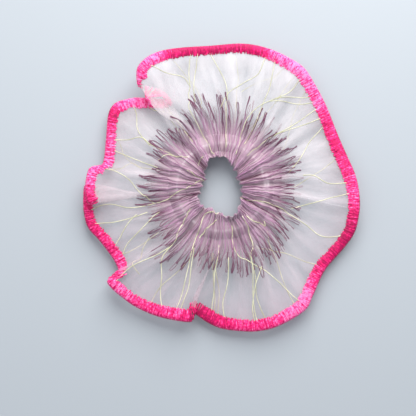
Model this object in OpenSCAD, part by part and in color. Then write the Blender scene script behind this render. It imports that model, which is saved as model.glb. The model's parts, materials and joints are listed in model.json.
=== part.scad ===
// Embroidered organza scrunchie: two ring-cut layers of organza, sewn together round the hair opening
// and turned, gathered on an elastic and bound along their wavy outer edge with satin stitching.
// It lies on the XY plane, +Z up, with the middle of its hair opening over the origin.

/* [Ruffle] */
// Size of the ruffle across its outer edge
ruffle_d = 130; // [105:1:160]
// Height of the highest wave of the outer edge
wave_h = 15; // [8:0.5:20]
// Thickness of one layer of organza with its gathers
cloth_t = 0.3; // [0.25:0.05:0.4]
// Height of the fine gathers that fan out of the channel
gather_h = 1; // [0.4:0.1:1.6]

/* [Elastic] */
// Diameter of the relaxed elastic loop, at the middle of its thickness
elastic_d = 40; // [33:0.5:50]
// Width of the elastic, which stands on its edge
elastic_w = 5; // [4:0.5:6]
// Thickness of the elastic
elastic_t = 1.2; // [0.8:0.1:1.6]
// Length over which the two ends of the elastic lie on each other
lap_l = 11; // [8:0.5:13]

/* [Channel and heading] */
// Distance between the two rows of stitches that hold the elastic
channel_w = 8; // [7:0.5:9.5]
// Depth of the frill inside the channel, at the sides of the hair opening
heading_deep = 7; // [5:0.5:9]
// Depth of the same frill at the two ends of the hair opening
heading_shallow = 2.5; // [2:0.25:4]

/* [Edge stitching] */
// Width of the satin-stitched edge
edge_w = 5.2; // [4:0.2:6.4]
// Thickness of the satin-stitched edge
edge_t = 1.8; // [1.5:0.1:2.2]

/* [Embroidery] */
// Diameter of the embroidery thread, in its double run
thread_d = 0.5; // [0.4:0.05:0.6]
// Stamen loops stitched on each side of a full gather
stamens_each = 12; // [8:1:14]
// How far the longest stamen loop reaches past the channel
stamen_l = 19; // [14:0.5:23]
// Veins stitched on each side of a full gather
veins_each = 4; // [2:1:5]
// Length of one stitch of a seam
seam_stitch = 2; // [1.4:0.1:2.4]

/* [Hidden] */
// A full turn is cut into this many equal steps, and the ring is opened at the strip's side seam.
steps = 9;
step_a = 360 / steps;
seam_a = -8;
// Half the angle left free between two neighbouring gathers.
slit_a = 0.4;
// Room between two pieces that must not touch, and the space left above the elastic's edges.
clear = 0.05;
elastic_room = 0.8;
// Half the space between the outer faces of the two layers, at the elastic and at a row of stitches.
channel_half = elastic_w / 2 + elastic_room + cloth_t;
pinch_half = cloth_t + 0.15;
// How much further apart the layers stand inside the heading and in the ruffle.
heading_puff = 1.3;
ruffle_puff = 1.1;
elastic_r = elastic_d / 2;
inner_seam_r = elastic_r - channel_w / 2;
outer_seam_r = elastic_r + channel_w / 2;
ruffle_r = ruffle_d / 2;
// How far under the satin stitching the veins and the side seam run.
under_edge = 1;
// Fine waves on each step of the ruffle, and the number of slices that each gather is built from.
waves_each = 2;
slices = 10;

// The outer edge, once round: [angle, radius as a share of ruffle_r, height as a share of wave_h].
EDGE = [
    [0, 0.945, 0.50], [20, 0.886, 0.28], [38, 0.92, 0.42], [55, 0.997, 0.58], [71, 1.005, 0.55],
    [95, 0.98, 0.40], [117, 1.015, 0.95], [129, 0.92, 0.60], [137, 0.89, 0.32], [146, 0.92, 0.34],
    [169, 0.83, 0.36], [178, 0.93, 0.76], [191, 0.967, 0.34], [213, 0.90, 0.28], [221, 1.01, 0.75],
    [234, 1.015, 0.58], [254, 0.965, 0.78], [262, 0.925, 0.34], [277, 1.003, 0.42], [294, 1.038, 0.60],
    [306, 1.025, 0.66], [322, 0.92, 0.36], [341, 0.975, 0.55], [360, 0.945, 0.50]
];
// The veins of a gather: [where they start, where they end], as shares of the gather's half angle.
VEINS = [[-0.55, -0.85], [0.1, -0.25], [0.15, 0.3], [0.62, 0.85], [-0.3, -0.5]];
// Tips of the stamen loops, as shares of stamen_l, repeated round the ring.
STAMEN_TIPS = [1, 0.72, 0.88, 0.64, 0.95, 0.78, 0.6, 0.9, 0.7];

function two(i) = str(i < 10 ? "0" : "", i);
GATHERS = [1:steps + 1];

// ---- the run of the cloth ----

function mix(a, b, x) = a + (b - a) * x;
function ease(x) = (1 - cos(180 * min(max(x, 0), 1))) / 2;
function turn(a) = a - 360 * floor(a / 360);

// The edge at any angle: [radius, height].
function edge(a) =
    let (b = turn(a), i = [for (k = [0:len(EDGE) - 2]) if (EDGE[k][0] <= b && b < EDGE[k + 1][0]) k][0],
         p = EDGE[i], q = EDGE[i + 1], x = ease((b - p[0]) / (q[0] - p[0])))
    [ruffle_r * mix(p[1], q[1], x), wave_h * mix(p[2], q[2], x)];

// The nose of the fold, which is the rim of the hair opening: an oval that is longer along Y.
function nose_r(a) =
    let (w = inner_seam_r - heading_deep, l = inner_seam_r - heading_shallow)
    w * l / sqrt(pow(l * cos(a), 2) + pow(w * sin(a), 2));

// Half the space between the two outer faces, in the heading, the channel and the ruffle.
function heading_half(x) =
    (pinch_half + heading_puff * sin(180 * x)) * sqrt(1 - pow(1 - min(x / 0.3, 1), 2));
function channel_half_at(x) =
    pinch_half + (channel_half - pinch_half) * min(sqrt(max(1 - x * x, 0)) / 0.89, 1);
function ruffle_half(x) = pinch_half + ruffle_puff * pow(sin(180 * x), 2);

// The organza's own outer edge, inside the satin stitching that is worked over it, and the share of the
// way across the ruffle at which a thread ends, just under that stitching.
function cloth_r(a) = edge(a)[0] - 0.2 * edge_w;
function thread_end(a) =
    (edge(a)[0] - edge_w + under_edge - outer_seam_r) / (cloth_r(a) - outer_seam_r);

// Height of the middle of the cloth in the ruffle, x running from 0 at the channel to 1 at the edge.
function ruffle_mid(a, x) =
    mix(channel_half, max(edge(a)[1], channel_half), ease(x))
    + gather_h * sin(180 * min(x / 0.7, 1)) * (1 - cos(360 * waves_each * (a - seam_a) / step_a)) / 2;

// A point of the cloth: side is 1 on the upper layer and -1 on the lower, out moves it off the face.
function in_ruffle(a, x, side, out = 0) =
    spot(a, mix(outer_seam_r, cloth_r(a), x), ruffle_mid(a, x) + side * (ruffle_half(x) + out));
function in_channel(a, x, side, out = 0) =
    spot(a, elastic_r + x * channel_w / 2, channel_half + side * (channel_half_at(x) + out));
function in_heading(a, x, side, out = 0) =
    spot(a, mix(nose_r(a), inner_seam_r, x), channel_half + side * (heading_half(x) + out));
function spot(a, r, z) = [r * cos(a), r * sin(a), z];

RUFFLE_X = [1, 0.75, 0.5, 0.28, 0.12, 0];
CHANNEL_X = [0.8, 0.45, -0.45, -0.8];
HEADING_X = [1, 0.6, 0.3, 0.12];

// One layer's line across the cloth, from the outer edge in to the nose.
function layer(a, side, out) = concat(
    [for (x = RUFFLE_X) in_ruffle(a, x, side, out)],
    [for (x = CHANNEL_X) in_channel(a, x, side, out)],
    [for (x = HEADING_X) in_heading(a, x, side, out)]
);
function backwards(list) = [for (i = [len(list) - 1:-1:0]) list[i]];

// The folded cloth cut across at one angle: its outside, round the nose, then back along its inside.
function fold_section(a) = concat(
    layer(a, 1, 0), [spot(a, nose_r(a), channel_half)], backwards(layer(a, -1, 0)),
    layer(a, -1, -cloth_t), [spot(a, nose_r(a) + cloth_t, channel_half)], backwards(layer(a, 1, -cloth_t))
);

// The satin stitching cut across at one angle: a flat band with round edges.
function edge_section(a) =
    let (e = edge(a), z = max(e[1], channel_half),
         upper = [[1, 0], [0.8, 0.8], [0.3, 1], [-0.6, 1], [-1, 0.4]],
         lower = [[-1, -0.4], [-0.6, -1], [0.3, -1], [0.8, -0.8]])
    [for (c = concat(upper, lower)) spot(a, e[0] + (c[0] - 1) * edge_w / 2, z + c[1] * edge_t / 2)];

// ---- shapes ----

// A closed solid through equal sections, one after the other. A thin section is closed at both ends by
// short faces across its wall, from each point on its outside to the one facing it on its inside.
module skin(sections, thin = false) {
    n = len(sections[0]);
    m = len(sections);
    cap = thin ? [for (j = [0:n / 2 - 2]) [j, j + 1, n - 2 - j, n - 1 - j]] : [[for (j = [0:n - 1]) j]];
    polyhedron(
        points = [for (s = sections) each s],
        faces = concat(
            cap,
            [for (i = [0:m - 2], j = [0:n - 1])
                let (k = (j + 1) % n, a = i * n + j, b = i * n + k)
                each [[a, a + n, b + n], [a, b + n, b]]],
            [for (c = cap) [for (j = [len(c) - 1:-1:0]) (m - 1) * n + c[j]]]
        ),
        convexity = 8
    );
}

// A straight run of thread between two points.
module thread(p, q, d = thread_d) {
    v = q - p;
    translate(p)
        rotate([0, acos(v[2] / norm(v)), atan2(v[1], v[0])])
            cylinder(h = norm(v), d = d, $fn = 16);
}

// ---- the gathers ----

// The first gather and the last are half ones, because the strip's two ends meet at the side seam.
function middle_a(i) = seam_a + (i - 1) * step_a;
function from_a(i) = middle_a(i) - (i == 1 ? 0 : step_a / 2) + slit_a;
function to_a(i) = middle_a(i) + (i == steps + 1 ? 0 : step_a / 2) - slit_a;
function is_half(i) = i == 1 || i == steps + 1;
function angles(i) =
    let (n = is_half(i) ? slices / 2 : slices)
    [for (k = [0:n]) mix(from_a(i), to_a(i), k / n)];

module organza(i) {
    color("white", 0.5) skin([for (a = angles(i)) fold_section(a)], thin = true);
}

module edge_stitching(i) {
    color("deeppink") skin([for (a = angles(i)) edge_section(a)]);
}

// Where a thread lies, from -1 at one border of a full gather to 1 at the other, if it is on gather i.
function place_a(i, x) = middle_a(i) + x * step_a / 2;
function on_gather(i, a) = a > from_a(i) + 1.5 && a < to_a(i) - 1.5;

// Each stamen is a narrow loop: two legs that draw together at the tip.
module stamen_stitches(i) {
    leg = 0.9;
    color("thistle") for (k = [0:stamens_each - 1], side = [-1, 1]) {
        a = place_a(i, (2 * k + 1) / stamens_each - 1);
        tip = stamen_l * STAMEN_TIPS[(k + 5 * i) % len(STAMEN_TIPS)] / (ruffle_r - outer_seam_r);
        if (on_gather(i, a)) for (b = [-leg, leg])
            thread(in_ruffle(a + b, 0.06, side), in_ruffle(a + b / 3, tip, side));
    }
}

// Each vein is a row of long stitches from the channel to the edge.
module vein_stitches(i) {
    runs = 6;
    gap = 0.06;
    color("lightyellow") for (k = [0:veins_each - 1], side = [-1, 1], n = [0:runs - 1]) {
        last = thread_end(place_a(i, VEINS[k][1]));
        x = mix(0.06, last, (n + gap) / runs);
        y = mix(0.06, last, (n + 1 - gap) / runs);
        a = place_a(i, mix(VEINS[k][0], VEINS[k][1], x));
        b = place_a(i, mix(VEINS[k][0], VEINS[k][1], y));
        if (on_gather(i, a) && on_gather(i, b))
            thread(in_ruffle(a, x, side, thread_d / 3), in_ruffle(b, y, side, thread_d / 3));
    }
}

// Running stitches between two angles, at a radius that may change with the angle.
module running_row(from, to, count, r, z) {
    half = seam_stitch / r(middle_a(1)) * 90 / PI;
    for (n = [1:count]) {
        a = from + (to - from) * (n - 0.5) / count;
        thread(spot(a - half, r(a), z), spot(a + half, r(a), z));
    }
}

// Two rows close the channel, one on each side of the elastic, and a third joins the layers at the rim
// of the hair opening, inside the turned edge.
module seam_stitches(i) {
    span = to_a(i) - from_a(i);
    function stitches(r) = floor(span * PI / 180 * r / (seam_stitch * 1.4));
    rim = function (a) nose_r(a) + cloth_t + thread_d / 3;
    color("ghostwhite") {
        for (r = [inner_seam_r, outer_seam_r], side = [-1, 1]) {
            z = channel_half + side * pinch_half;
            running_row(from_a(i), to_a(i), stitches(r), function (a) r, z);
        }
        running_row(from_a(i), to_a(i), stitches(nose_r(seam_a)), rim, channel_half);
    }
}

// ---- the elastic ----

// An upright band round the origin between two radii and two angles.
module band(r1, r2, from, to) {
    translate([0, 0, channel_half - elastic_w / 2])
        rotate([0, 0, from])
            rotate_extrude(angle = to - from, $fn = 96)
                translate([r1, 0])
                    square([r2 - r1, elastic_w]);
}

lap_half_a = lap_l / elastic_r * 90 / PI;
lap_a = seam_a + step_a / 4;
band_in = elastic_r - elastic_t / 2;
band_out = elastic_r + elastic_t / 2;
lap_out = band_out + clear + elastic_t;

// The loop itself, which ends where it meets its own beginning under the lap.
module elastic_band() {
    color("white") band(band_in, band_out, lap_a, lap_a + 359.7);
}

// The end of the same elastic, which lies over the beginning.
module elastic_lap() {
    color("whitesmoke") band(band_out + clear, lap_out, lap_a - lap_half_a, lap_a + lap_half_a);
}

// Rows of stitches through both ends.
module elastic_join_stitches() {
    rows = 4;
    color("gainsboro") for (x = [-0.75:0.5:0.75], n = [0:rows - 1]) {
        a = lap_a + x * lap_half_a;
        z = channel_half + elastic_w * ((n + 0.5) / rows - 0.5);
        thread(spot(a, band_in - thread_d, z), spot(a, lap_out + thread_d, z));
    }
}

// The strip's ends are sewn together with a narrow allowance, pressed to one side.
module side_seam() {
    allowance_a = 1.6;
    count = 9;
    color("mintcream") for (n = [0:count - 1]) {
        a = seam_a + allowance_a;
        x = mix(0.08, thread_end(a), (n + 0.12) / count);
        y = mix(0.08, thread_end(a), (n + 0.88) / count);
        thread(in_ruffle(a, x, 1), in_ruffle(a, y, 1));
    }
}

// ---- the nodes ----

for (i = GATHERS) {
    organza(i);
    edge_stitching(i);
    stamen_stitches(i);
    vein_stitches(i);
    seam_stitches(i);
}
elastic_band();
elastic_lap();
elastic_join_stitches();
side_seam();
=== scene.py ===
import json
import math
import random

import bpy
import numpy as np
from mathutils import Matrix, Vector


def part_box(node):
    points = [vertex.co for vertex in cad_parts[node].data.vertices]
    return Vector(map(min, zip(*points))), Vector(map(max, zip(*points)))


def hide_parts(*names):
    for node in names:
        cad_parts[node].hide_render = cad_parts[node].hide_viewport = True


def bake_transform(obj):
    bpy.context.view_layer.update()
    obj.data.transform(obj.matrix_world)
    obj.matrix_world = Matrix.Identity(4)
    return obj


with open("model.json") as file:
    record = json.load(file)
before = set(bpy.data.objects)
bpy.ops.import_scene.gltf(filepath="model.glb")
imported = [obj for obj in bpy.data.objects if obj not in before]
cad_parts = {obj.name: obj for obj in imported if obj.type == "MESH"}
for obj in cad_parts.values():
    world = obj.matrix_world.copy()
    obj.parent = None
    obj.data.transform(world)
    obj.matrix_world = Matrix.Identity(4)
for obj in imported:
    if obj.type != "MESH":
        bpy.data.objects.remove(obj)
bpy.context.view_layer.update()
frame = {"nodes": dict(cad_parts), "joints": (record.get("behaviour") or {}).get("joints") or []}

# ---- The run of the cloth ----
# Two ring-cut layers of organza lie on each other, are sewn together round the hair opening and turned,
# and gathered on an elastic. All that is stitched to them follows one surface, so its run comes first.

MM = 0.001
links = frame["joints"]
gather_step = 360 / len(links)
first_axis = links[0]["axis"]
seam_angle = math.degrees(math.atan2(first_axis[1], first_axis[0])) - 90 - gather_step / 2

band_low, band_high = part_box("elastic_band")
elastic_thick = 1.2
elastic_r = (band_high[0] - band_low[0]) / 2 / MM - elastic_thick / 2
elastic_w = (band_high[2] - band_low[2]) / MM
level = (band_high[2] + band_low[2]) / 2 / MM
channel_w = 8
frill_w = 7
ruffle_w = 40
# Half the space between the layers where the rows of stitches pinch them.
pinch = 0.4
inner_row_r = elastic_r - channel_w / 2
outer_row_r = elastic_r + channel_w / 2

# The outer edge, once round and through its folds: direction in degrees, distance and height in mm.
EDGE = [
    (4.6, 60.5, 7.2), (13.6, 58.4, 5.6), (21.3, 57.6, 4.8), (30.7, 58.3, 4.8), (38.2, 59.8, 5.6),
    (48.3, 62.6, 7.2), (55.0, 64.8, 8.2), (62.6, 65.2, 8.6), (71.2, 65.4, 8.4), (80.8, 65.0, 7.4),
    (95.1, 63.6, 6.4), (105.5, 64.7, 8.0), (113.4, 66.0, 10.8), (119.5, 66.0, 12.8), (124.8, 64.6, 13.2),
    (127.6, 61.6, 12.4), (128.9, 58.6, 11.2), (126.8, 56.8, 9.8), (124.6, 54.8, 8.6), (122.6, 52.6, 7.6),
    (121.0, 50.0, 6.8), (120.9, 47.8, 6.0), (122.9, 47.2, 5.2), (125.8, 48.9, 4.7), (128.7, 51.3, 4.5),
    (131.2, 53.4, 4.5), (134.1, 56.0, 4.6), (137.8, 58.5, 4.8), (141.8, 60.8, 5.2), (146.6, 60.5, 5.6),
    (157.6, 56.0, 5.0), (168.9, 54.2, 5.4), (170.6, 56.4, 7.8), (172.0, 59.2, 10.2), (179.0, 60.3, 11.2),
    (185.6, 60.2, 10.6), (187.6, 58.8, 9.2), (185.0, 58.0, 7.4), (180.6, 59.4, 5.8), (179.0, 61.4, 4.8),
    (184.6, 62.3, 4.5), (191.1, 62.9, 4.6), (197.0, 62.6, 4.9), (203.4, 59.9, 4.7), (213.0, 58.4, 4.4),
    (218.4, 59.2, 4.6), (221.0, 61.2, 5.6), (219.6, 64.2, 7.2), (219.6, 66.3, 8.4), (222.8, 66.7, 8.6),
    (228.0, 66.4, 7.8), (234.2, 66.1, 7.0), (242.7, 64.9, 6.6), (249.9, 63.4, 7.4), (255.5, 62.3, 8.8),
    (258.0, 61.4, 8.6), (257.2, 59.9, 7.4), (255.9, 58.7, 6.0), (258.4, 58.4, 4.8), (264.7, 61.5, 4.4),
    (269.7, 63.6, 4.6), (276.8, 65.2, 5.0), (284.4, 66.9, 5.8), (293.0, 67.5, 6.8), (304.7, 66.8, 7.4),
    (310.2, 63.9, 6.4), (321.7, 59.9, 4.9), (333.8, 61.8, 5.2), (341.0, 63.3, 6.8), (348.5, 62.9, 8.2),
    (356.6, 62.0, 8.2),
]
# The rim of the hair opening: direction in degrees and distance in mm.
RIM = [
    (0, 9.3), (14, 8.8), (24, 8.0), (33, 9.0), (58, 10.6), (79, 12.6), (96, 14.2), (115, 13.0),
    (131, 11.2), (146, 8.9), (157, 7.9), (168, 8.6), (184, 9.0), (205, 11.4), (216, 12.8), (239, 11.2),
    (258, 11.4), (270, 12.4), (283, 13.6), (303, 14.0), (316, 11.6), (337, 10.2), (350, 9.8),
]
# Gathers drawn in more deeply than the rest, where the stamens are also painted darker as shade:
# direction in degrees and half width in degrees.
DEEP = [(88, 3), (133, 6), (195, 5), (233, 2.5), (286, 2.5), (333, 3), (18, 3.5)]
# How far the cloth is shared out by direction, the rest being by its length along the edge.
by_direction = 0.45
# How far the cloth's places along the edge are turned on from its places at the elastic, in degrees.
edge_turn = 2.7
# Gathers to a turn and their seeds, from the big folds down to the fine ones.
BIG, MIDDLING, FINE = (17, 31), (36, 32), (82, 33)
lower_fine_seed = 34


def closed_curve(knots, values, at, period):
    """A smooth closed curve through values at knots, read at other places."""
    k = np.concatenate([[knots[-1] - period], knots, [knots[0] + period, knots[1] + period]])
    v = np.concatenate([[values[-1]], values, [values[0], values[1]]])
    slope = np.empty(len(k))
    slope[1:-1] = (v[2:] - v[:-2]) / (k[2:] - k[:-2])
    at = knots[0] + np.mod(np.asarray(at, float) - knots[0], period)
    i = np.clip(np.searchsorted(k, at, side="right") - 1, 1, len(k) - 3)
    w = k[i + 1] - k[i]
    t = (at - k[i]) / w
    m0, m1 = slope[i] * w, slope[i + 1] * w
    t2, t3 = t * t, t * t * t
    start = v[i] * (2 * t3 - 3 * t2 + 1) + m0 * (t3 - 2 * t2 + t)
    return start + v[i + 1] * (3 * t2 - 2 * t3) + m1 * (t3 - t2)


def edge_table():
    """The edge by the direction in which its cloth leaves the elastic: that direction, then the edge's
    own direction, distance and height, and its length."""
    a, r, z = np.array(EDGE).T
    xyz = np.stack([r * np.cos(np.radians(a)), r * np.sin(np.radians(a)), z], 1)
    chord = np.linalg.norm(np.roll(xyz, -1, 0) - xyz, axis=1)
    knots = np.concatenate([[0], np.cumsum(chord)[:-1]])
    at = np.linspace(0, chord.sum(), 7200)
    line = np.stack([closed_curve(knots, xyz[:, i], at, chord.sum()) for i in range(3)], 1)
    run = np.concatenate([[0], np.cumsum(np.linalg.norm(np.diff(line, axis=0), axis=1))])
    direction = np.degrees(np.unwrap(np.arctan2(line[:, 1], line[:, 0])))
    by_length = direction[0] + edge_turn + 360 * run / run[-1]
    leaves = (1 - by_direction) * by_length + by_direction * direction
    reach = np.hypot(line[:, 0], line[:, 1])
    return np.maximum.accumulate(leaves), direction, reach, line[:, 2], run[-1]


edge_leaves, edge_heads, edge_reach, edge_height, edge_length = edge_table()
rim_at = np.array(RIM, float).T


def at_edge(leaves, values, turning=False):
    """A value of the edge, by the direction in which the cloth leaves the elastic."""
    turns = np.floor((leaves - edge_leaves[0]) / 360)
    found = np.interp(leaves - 360 * turns, edge_leaves, values)
    return found + 360 * turns if turning else found


def ease(x):
    x = np.clip(x, 0, 1)
    return x * x * (3 - 2 * x)


def sideways(leaves, ruffle):
    """The share of its way round towards its place at the edge that the cloth has made. In the big fold
    at the upper left it gets there sooner."""
    big_fold = np.exp(-((np.mod(leaves, 360) - 120) / 24) ** 2)
    past = 0.2 * ease((ruffle - 0.3) / 0.35) * (1 - ease((ruffle - 0.65) / 0.35))
    return ease(ruffle / (0.85 - 0.25 * big_fold)) + big_fold * past


def wander(leaves, count, seed):
    """The running phase of some unevenly spaced folds, count of them to a turn."""
    draw = random.Random(seed)
    p = np.radians(leaves)
    strays = [draw.uniform(0.3, 0.8) * np.sin(n * p + draw.uniform(0, 6.3)) for n in (2, 3, 5, 8, 13)]
    return count / 2 * p + sum(strays)


def pleats(leaves, count, seed):
    """Gathers with round crests and sharp valleys: 0 in a valley and up to 1 on a crest."""
    draw = random.Random(seed + 100)
    p = np.radians(leaves)
    height = 0.78 + 0.22 * np.sin(7 * p + draw.uniform(0, 6.3)) * np.sin(11 * p + draw.uniform(0, 6.3))
    return np.abs(np.sin(wander(leaves, count, seed))) * height


def drawn_in(leaves):
    """How deeply the cloth is drawn in, from 0 to 1 in the middle of a deep gather."""
    away = [(np.mod(leaves - at + 180, 360) - 180) / width for at, width in DEEP]
    return np.max([np.exp(-d * d) for d in away], axis=0)


def waves(leaves, count, seed):
    """Soft folds, from 0 to 1."""
    return pleats(leaves, count, seed) ** 2


def cloth(leaves, v, side):
    """A point of the cloth in mm. v is 0 at the rim, 1 and 2 at the two rows and 3 at the edge; side is
    1 on the upper layer and -1 on the lower."""
    leaves, v = np.broadcast_arrays(np.asarray(leaves, float), np.asarray(v, float))
    frill, channel, ruffle = np.clip(v, 0, 1), np.clip(v - 1, 0, 1), np.clip(v - 2, 0, 1.02)
    top = side > 0
    big, middling = pleats(leaves, *BIG), pleats(leaves, *MIDDLING)
    fine = pleats(leaves, FINE[0], FINE[1] if top else lower_fine_seed)
    # Big folds come out of the hair opening and lie over a little, and their crests stand over its rim.
    rim_r = closed_curve(rim_at[0], rim_at[1], leaves, 360)
    # Where the opening is wide, the frill has no room to lie down, so it stands up.
    stand = 1.6 + 0.8 * np.maximum(frill_w - (inner_row_r - rim_r), 0)
    rim_r = rim_r + 0.7 - 1.5 * big - 0.7 * middling
    reach = at_edge(leaves, edge_reach)
    r = rim_r + (inner_row_r - rim_r) * frill + channel_w * channel + (reach - outer_row_r) * ruffle
    head = leaves + (at_edge(leaves, edge_heads, True) - leaves) * sideways(leaves, ruffle)
    lies_over = 3.0 * (1 - frill) ** 1.5 + 1.6 * np.sin(np.pi * channel)
    head = head + lies_over * np.sin(2 * wander(leaves, *BIG))
    z = level + (at_edge(leaves, edge_height) - level) * ease(ruffle)
    z = z + (1 - frill) ** 1.3 * (stand + 2.4 * (waves(leaves, 11, 35) - 0.4))
    # The gathers hold the ruffle up a little before it comes down to its edge.
    z = z + 2.8 * ease(ruffle / 0.3) * (1 - ease((ruffle - 0.2) / 0.7))
    # Folds that both layers share run out from the rows, then fewer and wider ones towards the edge.
    inner_folds = 1.5 * ease(ruffle / 0.16) * (1 - ease((ruffle - 0.1) / 0.5))
    outer_folds = 1.9 * ease((ruffle - 0.08) / 0.4) * (1 - 0.6 * ease((ruffle - 0.55) / 0.45))
    z = z + inner_folds * (pleats(leaves, 34, 12) - 0.5) + outer_folds * (waves(leaves, 15, 13) - 0.4)
    # Half the space between the layers, and the puffs of each layer over it. The lower layer is drawn in
    # flat at the rows, while the upper one bulges over the stitches between its folds.
    over_bag = np.sin(np.pi * channel)
    nose = np.sqrt(np.maximum(1 - (1 - np.minimum(frill / 0.3, 1)) ** 2, 0))
    open_half = pinch + 0.9 * np.sin(np.pi * np.minimum(ruffle, 1)) ** 2
    if top:
        lip = (0.6 + 1.9 * frill) * nose
        bag = 2.5 - 1.4 * channel + 1.45 * over_bag
        half = np.where(v < 1, lip, np.where(v < 2, bag, open_half + 0.7 * (1 - ease(ruffle / 0.2))))
        run = np.where(v < 1, nose * (0.8 + 0.15 * frill), 0.95 - 0.25 * over_bag)
        run = run * (1 - ease((ruffle - 0.04) / 0.42))
        puff = run * (2.0 * big + 1.3 * middling + (0.9 + 0.4 * (v < 1)) * fine)
        puff = puff * (1 - 0.9 * drawn_in(leaves))
    else:
        q = 2 * channel - 1
        lip = (pinch + 0.8 * np.sin(np.pi * frill)) * nose
        bag = pinch + 2.75 * np.minimum(np.sqrt(np.maximum(1 - q * q, 0)) / 0.89, 1)
        half = np.where(v < 1, lip, np.where(v < 2, bag, open_half))
        run = np.where(v < 1, nose * (1 - frill) ** 0.5, 0) + 0.12 * over_bag
        puff = run * (1.5 * big + 1.2 * middling + 0.9 * fine)
        puff = puff + 0.5 * ease(ruffle / 0.1) * (1 - ease((ruffle - 0.1) / 0.4)) * fine
    z = z + side * (half + puff)
    a = np.radians(head)
    return np.stack([r * np.cos(a), r * np.sin(a), z], -1)


def off_cloth(leaves, v, side, lift):
    """A point of the cloth, moved off its face by lift mm."""
    da, dv = 0.15, 0.012
    p = cloth(leaves, v, side)
    along = cloth(leaves + da, v, side) - cloth(leaves - da, v, side)
    across = cloth(leaves, v + dv, side) - cloth(leaves, np.maximum(v - dv, 0), side)
    n = np.cross(across, along) * side
    n = n / np.maximum(np.linalg.norm(n, axis=-1, keepdims=True), 1e-9)
    return p + n * np.asarray(lift)[..., None] if np.ndim(lift) else p + n * lift


# The cloth is parted into as many wedges as there are links, each from the middle of one gather to the
# middle of the next. Its zones run from the rim outwards, each with a radius.
ZONES = {"frill": 8.0, "channel": inner_row_r, "ruffle": outer_row_r}
wedges = [seam_angle + gather_step * k for k in range(len(links))]


def bend(piece):
    """Bakes a piece's placement into its mesh."""
    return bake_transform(piece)


def node_names(kind, wedge):
    """The CAD nodes that a wedge stands for. The last also holds the half gather by the side seam."""
    numbers = [wedge + 1] + ([wedge + 2] if wedge == len(links) - 1 else [])
    return [f"{kind}_{n:02d}" for n in numbers]


# ---- Organza ----
# Sheer white polyester organza in plain weave, about twenty-four threads to a centimetre. Each layer is
# cut as most of a ring, and its gathers run from the rows of stitches out to the bound edge.

def shader(name, roughness):
    """A new material with its node tree, and its Principled shader."""
    material = bpy.data.materials.new(name)
    material.use_nodes = True
    nodes = material.node_tree.nodes
    principled = nodes["Principled BSDF"]
    principled.inputs["Roughness"].default_value = roughness
    return material, nodes, material.node_tree.links, principled


def math_node(nodes, wires, operation, *values):
    """One Math node on two or three values or outputs."""
    node = nodes.new("ShaderNodeMath")
    node.operation = operation
    for socket, value in zip(node.inputs, values):
        if isinstance(value, (int, float)):
            socket.default_value = value
        else:
            wires.new(value, socket)
    return node.outputs[0]


def map_range(nodes, wires, value, start, end, kind):
    """A value carried over from one range to another, and held at its ends."""
    node = nodes.new("ShaderNodeMapRange")
    node.interpolation_type = kind
    for label, limit in zip(("From Min", "From Max", "To Min", "To Max"), (*start, *end)):
        node.inputs[label].default_value = limit
    wires.new(value, node.inputs["Value"])
    return node.outputs["Result"]


yarns_to_mm = 2.4


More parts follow.
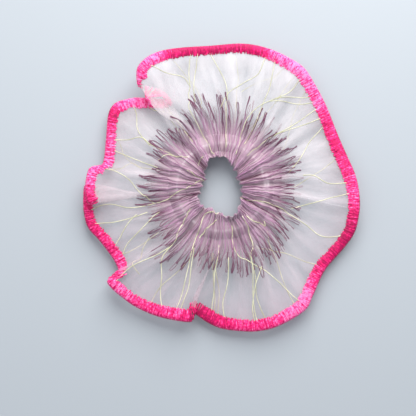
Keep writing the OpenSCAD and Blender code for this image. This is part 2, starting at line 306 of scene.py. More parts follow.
def organza_material():
    material, nodes, wires, principled = shader("organza", 0.45)
    weave = nodes.new("ShaderNodeUVMap")
    weave.uv_map = "weave"
    parts = nodes.new("ShaderNodeSeparateXYZ")
    wires.new(weave.outputs[0], parts.inputs[0])
    threads = []
    for axis in (0, 1):
        turns = math_node(nodes, wires, "MULTIPLY", parts.outputs[axis], 2 * math.pi * yarns_to_mm)
        wave = math_node(nodes, wires, "SINE", turns, 0)
        threads.append(math_node(nodes, wires, "MULTIPLY", wave, 0.5))
    cross = math_node(nodes, wires, "MAXIMUM", threads[0], threads[1])
    noise = nodes.new("ShaderNodeTexNoise")
    noise.inputs["Scale"].default_value = 260
    noise.inputs["Detail"].default_value = 3
    coords = nodes.new("ShaderNodeTexCoord")
    wires.new(coords.outputs["Object"], noise.inputs["Vector"])
    cover = math_node(nodes, wires, "MULTIPLY_ADD", cross, 0.16, 0.14)
    uneven = math_node(nodes, wires, "MULTIPLY_ADD", noise.outputs["Fac"], 0.12, -0.06)
    # Creases from the gathering run outwards, and the cloth hides more where it is creased.
    stretched = nodes.new("ShaderNodeMapping")
    stretched.inputs["Scale"].default_value = (0.12, 0.04, 1)
    wires.new(weave.outputs[0], stretched.inputs["Vector"])
    creases = nodes.new("ShaderNodeTexNoise")
    creases.inputs["Scale"].default_value = 1
    creases.inputs["Detail"].default_value = 3
    wires.new(stretched.outputs[0], creases.inputs["Vector"])
    creased = math_node(nodes, wires, "MULTIPLY_ADD", creases.outputs["Fac"], 0.5, -0.24)
    uneven = math_node(nodes, wires, "ADD", uneven, creased)
    # Painted light and shade: the cloth hides more towards the top and a little to the right, so it
    # looks whiter there, and less towards the lower left, where the darker table shows through.
    place = nodes.new("ShaderNodeSeparateXYZ")
    wires.new(coords.outputs["Object"], place.inputs[0])
    toward_light = math_node(nodes, wires, "MULTIPLY_ADD", place.outputs["X"], 0.15, place.outputs["Y"])
    painted_light_cover = math_node(nodes, wires, "MULTIPLY", toward_light, 1.2)
    uneven = math_node(nodes, wires, "ADD", uneven, painted_light_cover)
    # Where it is gathered, it lies in several folds on each other and hides more.
    distance = nodes.new("ShaderNodeVectorMath")
    distance.operation = "LENGTH"
    wires.new(coords.outputs["Object"], distance.inputs[0])
    reach = distance.outputs["Value"]
    gathered = map_range(nodes, wires, reach, (0.021, 0.036), (0.38, 0), "SMOOTHSTEP")
    uneven = math_node(nodes, wires, "ADD", uneven, gathered)
    # Fine ends of the mauve thread between the stamens tint it there. Towards the lower left it is
    # painted a greyer pink, as painted shade and painted pink reflection from the edge.
    tint = map_range(nodes, wires, reach, (0.026, 0.042), (1, 0), "SMOOTHSTEP")
    painted_shade_tint = map_range(nodes, wires, toward_light, (0.075, -0.05), (0, 0.85), "LINEAR")
    thread_tint_and_shade = nodes.new("ShaderNodeValToRGB")
    thread_tint_and_shade.color_ramp.elements[0].color = (0.97, 0.95, 0.96, 1)
    thread_tint_and_shade.color_ramp.elements[1].color = (0.66, 0.48, 0.555, 1)
    wires.new(math_node(nodes, wires, "MAXIMUM", tint, painted_shade_tint), thread_tint_and_shade.inputs["Fac"])
    wires.new(thread_tint_and_shade.outputs["Color"], principled.inputs["Base Color"])
    bump = nodes.new("ShaderNodeBump")
    bump.inputs["Strength"].default_value = 0.25
    bump.inputs["Distance"].default_value = 0.0001
    wires.new(cross, bump.inputs["Height"])
    wires.new(bump.outputs[0], principled.inputs["Normal"])
    principled.inputs["Sheen Weight"].default_value = 0.4
    principled.inputs["Sheen Roughness"].default_value = 0.4
    principled.inputs["Specular IOR Level"].default_value = 0.35
    # Light from behind glows through the yarns, and the gaps between them let it straight past.
    glow = nodes.new("ShaderNodeBsdfTranslucent")
    glow.inputs["Color"].default_value = (0.93, 0.92, 0.94, 1)
    gaps = nodes.new("ShaderNodeBsdfTransparent")
    yarns, whole = nodes.new("ShaderNodeMixShader"), nodes.new("ShaderNodeMixShader")
    yarns.inputs["Fac"].default_value = 0.15
    wires.new(principled.outputs[0], yarns.inputs[1])
    wires.new(glow.outputs[0], yarns.inputs[2])
    wires.new(math_node(nodes, wires, "ADD", cover, uneven), whole.inputs["Fac"])
    wires.new(gaps.outputs[0], whole.inputs[1])
    wires.new(yarns.outputs[0], whole.inputs[2])
    wires.new(whole.outputs[0], nodes["Material Output"].inputs["Surface"])
    return material


organza = organza_material()
columns = 120


def grid_normals(p):
    """Vertex normals of a grid of points, from its neighbours along and across."""
    along = np.gradient(p, axis=1)
    across = np.gradient(p, axis=0)
    n = np.cross(across, along)
    return n / np.maximum(np.linalg.norm(n, axis=-1, keepdims=True), 1e-9)


def sheet_strip(wedge, rows, sides):
    """Points, normals and weave places of a strip of cloth in a wedge, by its rows from rim to edge."""
    step = gather_step / columns
    leaves = wedges[wedge] + step * np.arange(-1, columns + 2)
    p = np.stack([cloth(leaves, v, side) for v, side in zip(rows, sides)])
    reach = np.cumsum(np.concatenate([[0], np.linalg.norm(np.diff(p, axis=0), axis=2).mean(1)]))
    n = grid_normals(p)[:, 1:-1]
    u = np.broadcast_to(leaves[1:-1] * edge_length / 360, (len(rows), columns + 1))
    w = np.broadcast_to(reach[:, None], (len(rows), columns + 1))
    return p[:, 1:-1], n, np.stack([u, w], -1)


def mesh_from_grids(name, grids, material):
    """One object from several grids of points. Each grid is (points, normals, weave places, flipped)."""
    points, faces, normals, places, start = [], [], [], [], 0
    for p, n, uv, flipped in grids:
        rows, cols = p.shape[:2]
        i = start + np.arange(rows * cols).reshape(rows, cols)
        quad = np.stack([i[:-1, :-1], i[1:, :-1], i[1:, 1:], i[:-1, 1:]], -1).reshape(-1, 4)
        faces.append(quad[:, ::-1] if flipped else quad)
        normals.append((-n if flipped else n).reshape(-1, 3))
        points.append(p.reshape(-1, 3))
        places.append(uv.reshape(-1, 2))
        start += rows * cols
    points, faces = np.concatenate(points) * MM, np.concatenate(faces)
    mesh = bpy.data.meshes.new(name)
    mesh.from_pydata(points.tolist(), [], faces.tolist())
    corners = np.concatenate(places)[faces.reshape(-1)]
    layer = mesh.uv_layers.new(name="weave")
    layer.data.foreach_set("uv", corners.reshape(-1).astype(np.float32))
    mesh.polygons.foreach_set("use_smooth", np.ones(len(faces), bool))
    mesh.normals_split_custom_set_from_vertices(np.concatenate(normals).tolist())
    mesh.materials.append(material)
    piece = bpy.data.objects.new(name, mesh)
    bpy.context.scene.collection.objects.link(piece)
    return piece


round_rows = (1 - np.cos(np.linspace(0, np.pi, 19))) / 2
ruffle_rows = 2 + np.linspace(0, 1, 46) ** 1.15
# Each layer was cut as a ring of 320 degrees, so a wedge of it lay flat as part of a ring. Each piece
# below holds both layers of its wedge in one zone.
for k in range(len(links)):
    number = f"{k + 1:02d}"
    cloth_pieces = {}
    frill = np.concatenate([np.linspace(1, 0.08, 14), [0.03, 0, 0.03], np.linspace(0.08, 1, 14)])
    frill_sides = [1] * 16 + [-1] * 15
    p, n, uv = sheet_strip(k, frill, frill_sides)
    cloth_pieces["frill"] = mesh_from_grids(f"organza_frill_{number}", [(p, n, uv, False)], organza)
    for zone, rows in (("channel", 1 + round_rows), ("ruffle", ruffle_rows)):
        grids = [(*sheet_strip(k, rows, [side] * len(rows)), side > 0) for side in (1, -1)]
        cloth_pieces[zone] = mesh_from_grids(f"organza_{zone}_{number}", grids, organza)
    for zone, piece in cloth_pieces.items():
        bend(piece)
    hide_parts(*node_names("organza", k))

# ---- Threads ----
# Sewing and embroidery threads are round twisted yarns. Each is laid out as a line on the cloth, and one
# node tree gives every line its thickness.

def thread_tree():
    tree = bpy.data.node_groups.new("thread_on_line", "GeometryNodeTree")
    face = tree.interface
    face.new_socket("Geometry", in_out="INPUT", socket_type="NodeSocketGeometry")
    for label, kind in (("Radius", "Float"), ("Sides", "Int"), ("Material", "Material")):
        face.new_socket(label, in_out="INPUT", socket_type=f"NodeSocket{kind}")
    face.new_socket("Geometry", in_out="OUTPUT", socket_type="NodeSocketGeometry")
    nodes, wires = tree.nodes, tree.links
    start, end = nodes.new("NodeGroupInput"), nodes.new("NodeGroupOutput")
    line = nodes.new("GeometryNodeMeshToCurve")
    thick = nodes.new("GeometryNodeInputNamedAttribute")
    thick.data_type = "FLOAT"
    thick.inputs["Name"].default_value = "thick"
    set_radius = nodes.new("GeometryNodeSetCurveRadius")
    profile = nodes.new("GeometryNodeCurvePrimitiveCircle")
    sweep = nodes.new("GeometryNodeCurveToMesh")
    sweep.inputs["Fill Caps"].default_value = True
    if "Scale" in sweep.inputs:
        wires.new(thick.outputs["Attribute"], sweep.inputs["Scale"])
    realize = nodes.new("GeometryNodeRealizeInstances")
    finish = nodes.new("GeometryNodeSetMaterial")
    wires.new(start.outputs["Geometry"], line.inputs["Mesh"])
    wires.new(line.outputs["Curve"], set_radius.inputs["Curve"])
    wires.new(thick.outputs["Attribute"], set_radius.inputs["Radius"])
    wires.new(start.outputs["Radius"], profile.inputs["Radius"])
    wires.new(start.outputs["Sides"], profile.inputs["Resolution"])
    wires.new(set_radius.outputs["Curve"], sweep.inputs["Curve"])
    wires.new(profile.outputs["Curve"], sweep.inputs["Profile Curve"])
    wires.new(sweep.outputs["Mesh"], realize.inputs["Geometry"])
    wires.new(realize.outputs["Geometry"], finish.inputs["Geometry"])
    wires.new(start.outputs["Material"], finish.inputs["Material"])
    wires.new(finish.outputs["Geometry"], end.inputs["Geometry"])
    return tree


thread_on_line = thread_tree()


def threads_from_lines(name, lines, radius, sides, material):
    """A piece made of threads. Each line is (points in mm, thickness and shade at each point)."""
    points = np.concatenate([p for p, _, _ in lines]) * MM
    thick = np.concatenate([np.broadcast_to(t, len(p)) for p, t, _ in lines]).astype(np.float32)
    shade = np.concatenate([np.broadcast_to(s, len(p)) for p, _, s in lines]).astype(np.float32)
    sizes = np.array([len(p) for p, _, _ in lines])
    ends = np.cumsum(sizes) - 1
    first = np.delete(np.arange(len(points)), ends)
    mesh = bpy.data.meshes.new(name)
    mesh.from_pydata(points.tolist(), np.stack([first, first + 1], 1).tolist(), [])
    for label, values in (("thick", thick), ("shade", shade)):
        mesh.attributes.new(label, "FLOAT", "POINT").data.foreach_set("value", values)
    laid = bpy.data.objects.new(name, mesh)
    bpy.context.scene.collection.objects.link(laid)
    modifier = laid.modifiers.new("threads", "NODES")
    modifier.node_group = thread_on_line
    for socket in thread_on_line.interface.items_tree:
        value = {"Radius": radius * MM, "Sides": sides, "Material": material}.get(socket.name)
        if value is not None and socket.in_out == "INPUT":
            modifier[socket.identifier] = value
    bpy.context.view_layer.update()
    swept = bpy.data.meshes.new_from_object(laid.evaluated_get(bpy.context.evaluated_depsgraph_get()))
    swept.name = name
    swept.polygons.foreach_set("use_smooth", np.ones(len(swept.polygons), bool))
    laid.modifiers.clear()
    laid.data = swept
    bpy.data.meshes.remove(mesh)
    return laid


def shared_out(lines):
    """Sorts lines on the cloth into wedges and zones. A line is (leaves, v, side, lift, thick, shade);
    it is cut where it passes a row or the middle of a gather."""
    shares = {}
    for leaves, v, side, lift, thick, shade in lines:
        leaves, v = np.asarray(leaves, float), np.asarray(v, float)
        thick, shade, lift = (np.broadcast_to(a, len(v)).astype(float) for a in (thick, shade, lift))
        p = off_cloth(leaves, v, side, lift)
        middle_v, middle_a = (v[1:] + v[:-1]) / 2, (leaves[1:] + leaves[:-1]) / 2
        wedge = (np.floor((middle_a - seam_angle) / gather_step) % len(links)).astype(int)
        zone = np.clip(middle_v.astype(int), 0, 2)
        cut_at = np.flatnonzero((np.diff(wedge) != 0) | (np.diff(zone) != 0)) + 1
        bounds = [0, *cut_at, len(v) - 1]
        for a, b in zip(bounds[:-1], bounds[1:]):
            key = (int(wedge[a]), list(ZONES)[zone[a]])
            shares.setdefault(key, []).append((p[a:b + 1], thick[a:b + 1], shade[a:b + 1]))
    return shares


def with_rows(v):
    """The same places along a line, with the two rows of stitches among them where it passes them."""
    v = np.asarray(v, float)
    rows = [row for row in (1.0, 2.0) if v.min() < row < v.max()]
    v = np.sort(np.concatenate([v, rows]))
    return v[np.concatenate([[True], np.diff(v) > 1e-4])]


def thread_material(name, shades, roughness, twist, uneven_share=0.3, sheen=0.3):
    """Thread whose colour runs through shades with its shade attribute, and whose relief has a twist."""
    material, nodes, wires, principled = shader(name, roughness)
    shade = nodes.new("ShaderNodeAttribute")
    shade.attribute_name = "shade"
    noise = nodes.new("ShaderNodeTexNoise")
    noise.inputs["Scale"].default_value = twist
    noise.inputs["Detail"].default_value = 2
    coords = nodes.new("ShaderNodeTexCoord")
    wires.new(coords.outputs["Object"], noise.inputs["Vector"])
    uneven = math_node(
        nodes, wires, "MULTIPLY_ADD", noise.outputs["Fac"], 2 * uneven_share, -uneven_share
    )
    ramp = nodes.new("ShaderNodeValToRGB")
    for i, (place, colour) in enumerate(shades):
        stop = ramp.color_ramp.elements[i] if i < 2 else ramp.color_ramp.elements.new(place)
        stop.position, stop.color = place, (*colour, 1)
    wires.new(math_node(nodes, wires, "ADD", shade.outputs["Fac"], uneven), ramp.inputs["Fac"])
    wires.new(ramp.outputs["Color"], principled.inputs["Base Color"])
    bump = nodes.new("ShaderNodeBump")
    bump.inputs["Strength"].default_value = 0.5
    bump.inputs["Distance"].default_value = 0.0001
    wires.new(noise.outputs["Fac"], bump.inputs["Height"])
    wires.new(bump.outputs[0], principled.inputs["Normal"])
    principled.inputs["Sheen Weight"].default_value = sheen
    principled.inputs["Specular IOR Level"].default_value = 0.3
    return material


# ---- Satin-stitched edge ----
# Both layers are bound along the edge with dense zigzag stitches in a variegated pink thread, 3.5 to
# 5 mm wide. The outer side is even, and the inner side ragged where stitches differ in length.

pinks = [
    (0.0, (0.95, 0.24, 0.52)),
    (1.0, (0.40, 0.0, 0.08)),
    (0.3, (0.90, 0.06, 0.29)),
    (0.62, (0.74, 0.003, 0.14)),
]
pink = thread_material(
    "pink_satin_thread", pinks, roughness=0.5, twist=1100, uneven_share=0.8, sheen=0.05
)
# How deep the pink is, once round the edge: direction in degrees, depth from 0 light to 1 deep.
PINK = [
    (0, 0.35), (6, 0.6), (14, 0.65), (24, 0.68), (33, 0.55), (40, 0.3), (48, 0.22), (55, 0.12),
    (64, 0.15), (70, 0.45), (76, 0.88), (83, 1.0), (90, 0.98), (98, 1.0), (105, 1.05), (111, 0.75),
    (117, 0.2), (127, 0.3), (131, 0.3), (136, 0.1), (142, 0.4), (146, 0.95), (150, 0.5),
    (160, 0.25), (170, 0.22), (176, 0.2), (183, 0.58), (188, 0.66), (194, 0.7), (204, 0.62),
    (212, 0.5), (219, 0.4), (225, 0.25), (232, 0.45), (241, 0.5), (252, 0.45), (259, 0.85),
    (265, 0.9), (271, 0.6), (280, 0.5), (290, 0.5), (299, 0.2), (308, 0.14), (316, 0.45),
    (322, 0.7), (330, 0.92), (340, 0.92), (348, 0.7), (354, 0.5),
]
satin_w = 4.4
satin_count = 1650
satin_thread = 0.26
# Where the edge rolls under the upper left lobe, and the stitching on the upper side runs out:
# direction in degrees and distance in mm.
roll_at = (128.9, 59.0)
pink_at = np.array(PINK, float).T


def satin_depth(leaves):
    """Depth of the pink where the cloth leaves the elastic in this direction."""
    return np.interp(np.mod(at_edge(leaves, edge_heads, True), 360), pink_at[0], pink_at[1], period=360)


def over_edge(leaves, width, lift, slant):
    """A stitch over the edge, square to it, from its inner end on the upper layer to the lower."""
    around = ((0.4, 3), (-0.4, 3), (0, 2.96))
    middle = [(cloth(leaves + a, v, 1) + cloth(leaves + a, v, -1)) / 2 for a, v in around]
    edge, along = (middle[0] + middle[1]) / 2, (middle[0] - middle[1]) / 0.8
    inwards = (middle[2] - edge) / 0.04
    speed = np.linalg.norm(along)
    lean = inwards @ along / speed
    square = math.sqrt(max(inwards @ inwards - lean * lean, 1e-6))
    depth = min(width / square, 0.3)
    share = np.array([1.0, 0.7, 0.38, 0.09])
    v = 3 - depth * share
    a = leaves + (slant - np.clip(depth * lean / speed, -7, 7)) * share
    lifts = lift * np.array([0.1, 1.0, 1.0, 0.8])
    upper, lower = off_cloth(a, v, 1, lifts), off_cloth(a, v, -1, lifts)
    tip = edge - inwards / np.linalg.norm(inwards) * 0.3
    return np.concatenate([upper, tip[None], lower[::-1]])


draw = random.Random(41)
satin = {}
for i in range(satin_count):
    leaves = seam_angle + 360 * (i + draw.uniform(-0.25, 0.25)) / satin_count
    stitch_shade, stitch_lift = draw.gauss(0, 0.12), draw.uniform(0, 0.3)
    long_wave = 0.35 * math.sin(math.radians(3 * leaves))
    long_wave = long_wave + 0.25 * math.sin(math.radians(7 * leaves + 40))
    head, reach = float(at_edge(leaves, edge_heads, True)), float(at_edge(leaves, edge_reach))
    rolled = math.exp(-((head - roll_at[0]) / 2.2) ** 2 - ((reach - roll_at[1]) / 3.5) ** 2)
    rolled = rolled * float(ease((at_edge(leaves, edge_height) - 10.4) / 0.8))
    left = math.exp(-((head - 158) / 16) ** 2)
    wide = 0.45 * math.cos(math.radians(head - 315)) - 0.5 * left
    width = (satin_w + long_wave + wide + draw.uniform(-0.6, 0.35)) * (1 - 0.7 * rolled)
    p = over_edge(leaves, width, 0.3 + stitch_lift, draw.uniform(-0.2, 0.2))
    depth = float(satin_depth(leaves)) + stitch_shade
    speckle = np.array([depth + draw.gauss(0, 0.16) for _ in p])
    wedge = int(math.floor((leaves - seam_angle) / gather_step)) % len(links)
    satin.setdefault(wedge, []).append((p, draw.uniform(0.85, 1.1), speckle))
for k, lines in satin.items():
    piece = threads_from_lines(f"satin_edge_{k + 1:02d}", lines, satin_thread, 5, pink)
    bend(piece)
    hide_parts(*node_names("edge_stitching", k))

# ---- Stamen embroidery ----
# Long narrow loops of mauve thread radiate from the hair opening over the gathers, on both layers. Their
# two legs draw together at the tip, where the thread lies double and looks darkest.

mauves = [(0.0, (0.52, 0.31, 0.47)), (1.0, (0.12, 0.03, 0.07)), (0.5, (0.34, 0.155, 0.28))]
mauve = thread_material("mauve_thread", mauves, roughness=0.5, twist=2600)
stamen_count = 150
stamen_thread = 0.125
# Where the stamens are shorter: direction in degrees and half width in degrees.
SHORTER = [(5, 20), (165, 16)]
draw = random.Random(57)
stamens = []
for side in (1, -1):
    for i in range(stamen_count):
        middle = seam_angle + 360 * (i + draw.uniform(-0.4, 0.4)) / stamen_count
        away = [((middle - at + 180) % 360 - 180) / width for at, width in SHORTER]
        shorter = sum(math.exp(-d ** 2) for d in away)
        tip = 2.31 + 0.05 * math.sin(math.radians(5 * middle)) - 0.12 * shorter
        tip = tip + draw.uniform(-0.13, 0.15)
        root = draw.uniform(0.0, 0.12)
        lean = draw.uniform(-3.5, 3.5)
        spread = draw.uniform(0.7, 1.7)
        closes, shut = draw.uniform(0.35, 0.8), draw.choice((0.95, 0.92, 0.88, 0.6))
        pale = draw.uniform(0.1, 0.65)
        drift, start = draw.uniform(0.3, 0.9), draw.uniform(0, 6.3)
        outwards = [np.linspace(root, 2, 15), np.linspace(2, tip, 11)[1:], [tip - 0.003]]
        v = with_rows(np.concatenate(outwards))
        run = frill_w * np.minimum(v, 1) + channel_w * np.clip(v - 1, 0, 1)
        run = run + ruffle_w * np.clip(v - 2, 0, 1)
        way = (run - run[0]) / (run[-1] - run[0])
        head = middle + lean * way
        # Painted shade: the legs are darker in the valleys between the big folds and in the deep
        # gathers, most of all near the rim.
        valley = 0.35 * (1 - pleats(head, *BIG)) ** 3 + 0.95 * drawn_in(head)
        for leg in (-1, 1):
            leg_shade = pale + draw.uniform(-0.15, 0.15) + valley * (1 - way)
            shade = leg_shade + (1.0 - leg_shade) * ease((way - 0.62) / 0.25)
            thick = draw.uniform(0.75, 1.05) + 0.6 * ease((way - 0.78) / 0.15)
            stray = draw.uniform(-2.2, 2.2) * np.sin(math.pi * way)
            stray = stray + draw.uniform(-0.5, 0.5) * np.sin(23 * way + start)
            gap = spread * (1 - shut * ease((way - closes) / (0.97 - closes)))
            gap = gap * np.sqrt(np.clip((1 - way) / 0.03, 0, 1))
            sink = draw.uniform(-0.16, 0.16)
            a = head + leg * gap + stray + drift * np.sin(7 * way + start + 0.4 * leg)
            stamens.append((a, v, side, sink + (0.17 - sink) * ease((way - 0.5) / 0.3), thick, shade))
for (k, zone), lines in sorted(shared_out(stamens).items()):
    piece = threads_from_lines(f"stamens_{zone}_{k + 1:02d}", lines, stamen_thread, 5, mauve)
    bend(piece)
    if zone == "ruffle":
        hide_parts(*node_names("stamen_stitches", k))

# ---- Vein embroidery ----
# Thin lines of pale yellow thread wander outwards from the hair opening to the edge, and some of them
# branch. They are worked in short back stitches on both layers.

creams = [(0.0, (0.70, 0.69, 0.46)), (1.0, (0.35, 0.35, 0.17)), (0.5, (0.53, 0.53, 0.33))]
cream = thread_material("cream_thread", creams, roughness=0.5, twist=2600)
vein_thread = 0.185
back_stitch = 2.2
# How near the edge the veins go, under the satin stitching.
tucked = 2.93
# Each vein of the upper layer: places it passes, as direction in degrees and distance in mm.
VEINS = [
    [(103, 15), (110, 28), (110, 42), (107, 48), (103, 59)],
    [(107, 40), (104, 50), (100, 58)],
    [(84, 18), (86, 33), (86, 40), (88, 48), (95, 59)],
    [(90, 36), (86, 42), (79, 47), (72, 53), (71, 59)],
    [(61, 22), (63, 40), (64, 50), (67, 61)],
    [(66, 16), (69, 26), (68, 35), (64, 41), (58, 47), (54, 53), (54, 61)],
    [(61, 44), (51, 52), (44, 57)],
    [(61, 44), (53, 48), (47, 51), (41, 57)],
    [(49, 18), (47, 25), (45, 32), (42, 38), (40, 46), (39, 56)],
    [(44, 33), (38, 44), (34, 54)],
    [(12, 31), (20, 38), (27, 45), (30, 52), (32, 56)],
    [(8, 37), (7, 42), (2, 48), (2, 56)],
    [(343, 33), (349, 40), (353, 47), (358, 56)],
    [(330, 10), (339, 18), (341, 26), (338, 33), (336, 42), (334, 50), (339, 59)],
    [(306, 16), (301, 25), (294, 33), (291, 40), (287, 49), (285, 62)],
    [(312, 17), (317, 24), (322, 25)],
    [(284, 18), (282, 27), (291, 36), (298, 43), (302, 52), (305, 62)],
    [(297, 40), (290, 46), (285, 55), (284, 62)],
    [(262, 11), (241, 14), (243, 23), (245, 30), (248, 40), (250, 51), (250, 60)],
    [(262, 15), (252, 20), (247, 25)],
    [(246, 30), (250, 40), (252, 48), (252, 58)],
    [(214, 17), (224, 24), (229, 31), (230, 41), (237, 49), (245, 61)],
    [(230, 34), (226, 43), (222, 52), (222, 62)],
    [(268, 26), (266, 37), (266, 48), (266, 58)],
    [(276, 32), (274, 43), (271, 52), (272, 60)],
    [(162, 8), (181, 15), (191, 23), (194, 31), (193, 42), (189, 50), (190, 58)],
    [(162, 8), (156, 13), (153, 17)],
    [(194, 31), (185, 36), (176, 41), (172, 47), (171, 55)],
    [(121, 16), (138, 14)],
    [(137, 20), (147, 26), (157, 31)],
    [(146, 24), (149, 36), (148, 42), (153, 47), (157, 53)],
    [(163, 30), (162, 42), (161, 52)],
    [(107, 47), (109, 52), (115, 56), (121, 61)],
    [(122, 24), (124, 38), (124, 45), (126, 51), (125, 58)],
    [(150, 37), (146, 45), (141, 49), (136, 53)],
    [(124, 40), (133, 48)],
    [(198, 40), (203, 47), (210, 54)],
    [(202, 30), (208, 41), (212, 51), (216, 57)],
    [(199, 35), (199, 44), (198, 52), (196, 60)],
]


def on_cloth(direction, distance):
    """The place on the ruffle, channel or frill that lies in this direction and at this distance."""
    leaves = float(direction)
    for _ in range(12):
        reach = float(at_edge(leaves, edge_reach))
        x = min(max((distance - outer_row_r) / (reach - outer_row_r), 0), 0.9)
        to_go = float(at_edge(leaves, edge_heads, True) - leaves)
        leaves = direction - to_go * float(sideways(leaves, x))
    if distance >= outer_row_r:
        return leaves, 2 + x
    if distance >= inner_row_r:
        return direction, 1 + (distance - inner_row_r) / channel_w
    rim = float(closed_curve(rim_at[0], rim_at[1], direction, 360))
    return direction, min(max((distance - rim) / (inner_row_r - rim), 0.06), 1)


def smooth_line(knots, count):
    """Places along a soft line through knots."""
    knots = np.array(knots, float)
    n = len(knots)
    padded = np.concatenate([[2 * knots[0] - knots[1]], knots, [2 * knots[-1] - knots[-2]]])
    out = []
    for i in range(n - 1):
        p0, p1, p2, p3 = padded[i:i + 4]
        t = np.linspace(0, 1, count, endpoint=i == n - 2)[:, None]
        out.append(0.5 * (2 * p1 + (p2 - p0) * t + (2 * p0 - 5 * p1 + 4 * p2 - p3) * t ** 2
                          + (3 * p1 - p0 - 3 * p2 + p3) * t ** 3))
    return np.concatenate(out)


def vein_line(knots, turn, side, lift, shade):
    line = smooth_line([on_cloth(a + turn, r) for a, r in knots], 14)
    leaves, v = line[:, 0], np.clip(line[:, 1], 0.05, tucked)
    if v[-1] > 2.75:
        v = v + (tucked - v[-1]) * ease(np.linspace(-3, 1, len(v)))
    stitches = np.linalg.norm(np.diff(cloth(leaves, v, side), axis=0), axis=1)
    run = np.concatenate([[0], np.cumsum(stitches)])
    upper = math.sin(math.radians(knots[-1][0]))
    thick = (0.8 + 0.3 * np.abs(np.sin(math.pi * run / back_stitch))) * (0.92 - 0.13 * upper)
    sinks = lift + 0.13 * np.sin(run * 0.37 + knots[0][0]) + 0.06 * np.sin(run * 1.9)
    return leaves, v, side, sinks, thick, shade + 0.12 * upper + 0.3 * np.sin(run * 0.5 + knots[0][0])


veins = [vein_line(knots, 0, 1, 0.14, 0.35) for knots in VEINS]
# The veins of the lower layer are painted darker, as shade under the upper layer.
veins += [vein_line(knots, 17, -1, 0.14, 0.7) for knots in VEINS[::2]]
for (k, zone), lines in sorted(shared_out(veins).items()):
    piece = threads_from_lines(f"veins_{zone}_{k + 1:02d}", lines, vein_thread, 6, cream)
    bend(piece)
    if zone == "ruffle":
        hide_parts(*node_names("vein_stitches", k))

# ---- Rows of stitches ----
# White sewing thread holds the elastic between two rows of running stitches, and closes each layer into
# a ring along the side seam. A third row joins the layers inside the rim, where it can't be seen.

whites = [(0.0, (0.9, 0.9, 0.92)), (1.0, (0.75, 0.75, 0.78))]
white = thread_material("white_thread", whites, roughness=0.5, twist=2600)
row_thread = 0.11
seam_count = 14
rows = []
for row_r, count in ((inner_row_r, 60), (outer_row_r, 90)):
    for i in range(count):
        for side in (1, -1):
            a = seam_angle + 360 * (i + np.array([0.15, 0.3, 0.5, 0.7, 0.85])) / count
            z = level + side * np.array([0, 0.5, 0.58, 0.5, 0])
            p = np.stack([row_r * np.cos(np.radians(a)), row_r * np.sin(np.radians(a)), z], -1)
            rows.append((int((i + 0.5) / count * len(links)), p, 1.0))
for i in range(seam_count):
    v = 2.05 + 0.82 * (i + np.linspace(0.1, 0.9, 4)) / seam_count
    p = off_cloth(np.full(4, seam_angle + 1.6), v, -1, np.array([-0.05, 0.1, 0.1, -0.05]))
    rows.append((0, p, 0.6))
for k in range(len(links)):
    lines = [(p, thick, 0.3) for wedge, p, thick in rows if wedge == k]
    piece = threads_from_lines(f"row_stitches_{k + 1:02d}", lines, row_thread, 5, white)
    bend(piece)
    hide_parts(*node_names("seam_stitches", k), *(["side_seam"] if k == 0 else []))

# ---- Elastic ----
# A white braided elastic 5 mm wide stands on its edge inside the channel. Its ends lie on each other and
# are sewn through, and it shows only as a paler band through the organza.

def elastic_material():
    material, nodes, wires, principled = shader("white_elastic", 0.7)
    coords = nodes.new("ShaderNodeTexCoord")
    ribs = nodes.new("ShaderNodeTexWave")
    ribs.bands_direction = "Z"
    ribs.inputs["Scale"].default_value = 390
    ribs.inputs["Distortion"].default_value = 0.6
    wires.new(coords.outputs["Object"], ribs.inputs["Vector"])
    ramp = nodes.new("ShaderNodeValToRGB")
    ramp.color_ramp.elements[0].color = (0.58, 0.58, 0.60, 1)
    ramp.color_ramp.elements[1].color = (0.80, 0.80, 0.81, 1)
    wires.new(ribs.outputs["Fac"], ramp.inputs["Fac"])
    wires.new(ramp.outputs["Color"], principled.inputs["Base Color"])
    bump = nodes.new("ShaderNodeBump")
    bump.inputs["Distance"].default_value = 0.0002
    wires.new(ribs.outputs["Fac"], bump.inputs["Height"])
    wires.new(bump.outputs[0], principled.inputs["Normal"])
    return material


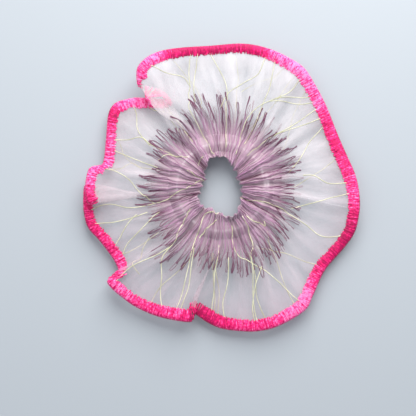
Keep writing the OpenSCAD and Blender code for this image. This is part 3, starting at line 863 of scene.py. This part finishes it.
white_elastic = elastic_material()
corner = 0.35
section = []
for i in range(17):
    t = 2 * math.pi * i / 16
    x = math.copysign(abs(math.cos(t)) ** corner, math.cos(t)) if abs(math.cos(t)) > 1e-9 else 0.0
    y = math.copysign(abs(math.sin(t)) ** corner, math.sin(t)) if abs(math.sin(t)) > 1e-9 else 0.0
    section.append((x * elastic_thick / 2, y * elastic_w / 2))
for k in range(len(links)):
    a = np.radians(wedges[k] + gather_step * np.linspace(0, 1, 61))
    rib = 1 + 0.03 * np.sin(np.linspace(0, 1, 61) * 2 * math.pi * 18)
    rings = []
    for x, y in section:
        r = elastic_r + x * rib
        rings.append(np.stack([r * np.cos(a), r * np.sin(a), level + y * rib], -1))
    p = np.stack(rings)
    along = np.degrees(a) * elastic_r * math.pi / 180
    uv = np.stack(np.broadcast_arrays(along, np.arange(17)[:, None] * 0.7), -1)
    piece = mesh_from_grids(f"elastic_{k + 1:02d}", [(p, grid_normals(p), uv, False)], white_elastic)
    bend(piece)
    if k == 0:
        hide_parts("elastic_band")
for name, finish in (("elastic_lap", white_elastic), ("elastic_join_stitches", white)):
    node = frame["nodes"][name]
    node.data.materials.clear()
    node.data.materials.append(finish)

# ---- Table, light and camera ----
# A plain pale table under a large soft light from above and to the left, and a weaker one opposite.

table_material, nodes, wires, principled = shader("pale_table", 0.6)
principled.inputs["Base Color"].default_value = (0.365, 0.397, 0.43, 1)
bpy.ops.mesh.primitive_plane_add(size=3, location=(0, 0, -0.0002))
table = bpy.context.object
table.name = "table"
table.data.materials.append(table_material)


def soft_light(name, place, size, power, colour):
    light = bpy.data.lights.new(name, "AREA")
    light.shape, light.size, light.energy, light.color = "DISK", size, power, colour
    lamp = bpy.data.objects.new(name, light)
    lamp.location = place
    lamp.rotation_euler = (-lamp.location).to_track_quat("-Z", "Y").to_euler()
    bpy.context.scene.collection.objects.link(lamp)


soft_light("window_light", (0.10, 0.47, 0.41), 0.62, 7.7, (1.0, 0.985, 0.97))
soft_light("fill_light", (-0.5, 0.2, 0.8), 0.8, 1.9, (0.95, 0.98, 1.0))
world = bpy.data.worlds.new("room")
world.use_nodes = True
world.node_tree.nodes["Background"].inputs["Color"].default_value = (0.90, 0.94, 1.0, 1)
world.node_tree.nodes["Background"].inputs["Strength"].default_value = 0.6
bpy.context.scene.world = world
bpy.context.scene.view_settings.view_transform = "Standard"

# The width and the middle of the view in mm, at half the height of the scrunchie.
view_w = 187.8
middle = (-5.9, -9.5)
mid_height = 7
lens = 85
sensor_w = 36
camera = bpy.data.objects.new("camera", bpy.data.cameras.new("camera"))
camera.data.lens = lens
camera.data.clip_start = 0.01
camera.location = (middle[0] * MM, middle[1] * MM, (view_w * lens / sensor_w + mid_height) * MM)
bpy.context.scene.collection.objects.link(camera)
bpy.context.scene.camera = camera
